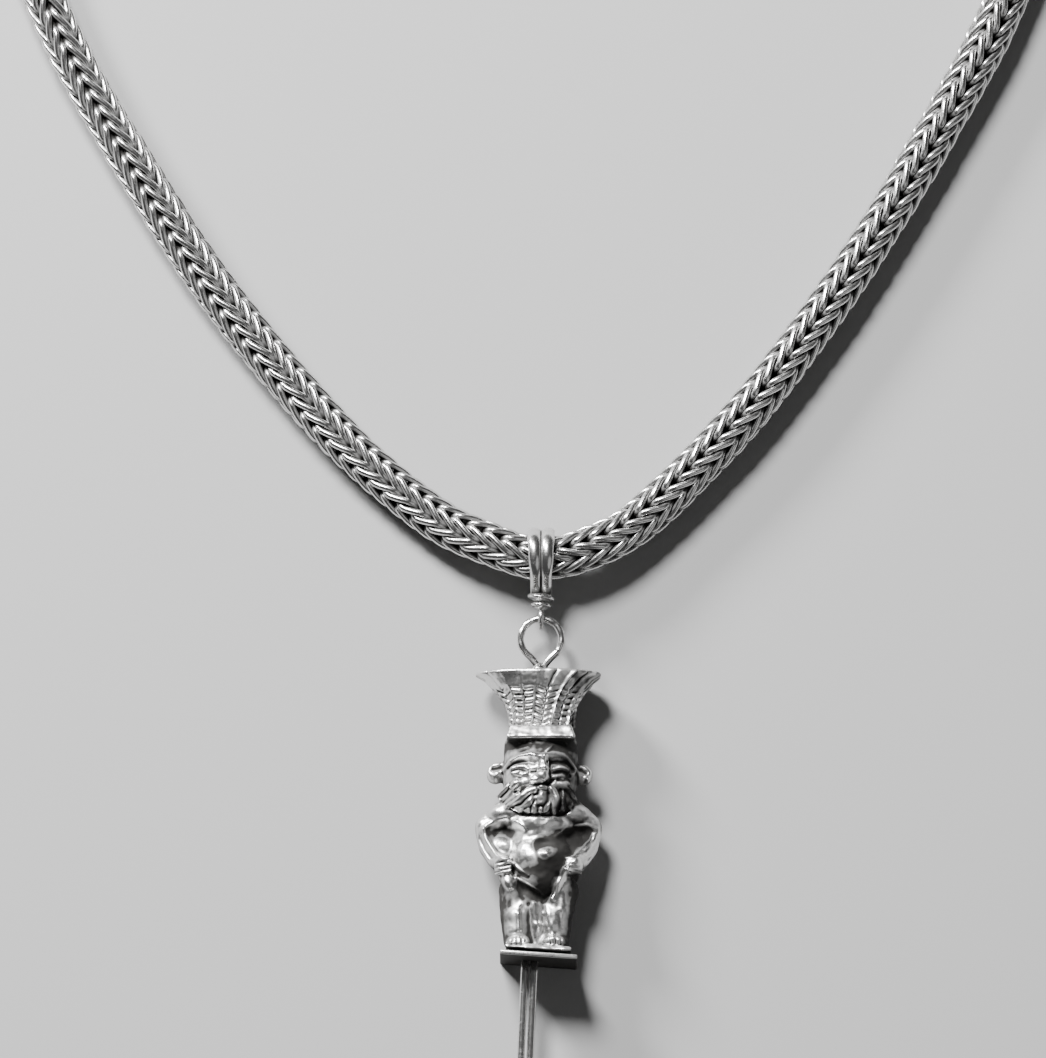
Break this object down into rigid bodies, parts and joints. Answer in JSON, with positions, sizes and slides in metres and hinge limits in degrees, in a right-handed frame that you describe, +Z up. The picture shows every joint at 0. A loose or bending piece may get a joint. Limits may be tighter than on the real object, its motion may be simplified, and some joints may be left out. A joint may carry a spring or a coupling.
{
  "type": "loop-in-loop chain necklace",
  "caption": "Heavy round loop-in-loop silver chain necklace with a cast plumed amulet figure hung from a ribbed bail.",
  "frame": {"origin": "middle of the bounding box, on the surface that the necklace lies on", "axes": "+Y from the pendant to the clasp, +Z up from the surface, out of the figure's face"},
  "size_m": [0.1208, 0.1967, 0.0088],
  "materials": {
    "chain_wire": "burnished silver wire, dark tarnish between the links",
    "worked_silver": "hammered and filed silver",
    "cast_silver": "worn cast silver, tarnish in the hollows",
    "tarnished_silver": "dull tarnished silver"
  },
  "bodies": {
    "root": {"loop_in_loop_chain": "chain_wire", "bail": "worked_silver", "crown_ring": "worked_silver", "amulet_figure": "cast_silver", "base_plate": "cast_silver", "lower_wire_loop": "worked_silver", "terminal_cap_left": "tarnished_silver", "terminal_cap_right": "tarnished_silver", "clasp_hook": "tarnished_silver", "clasp_eye": "tarnished_silver"}
  },
  "joints": []
}
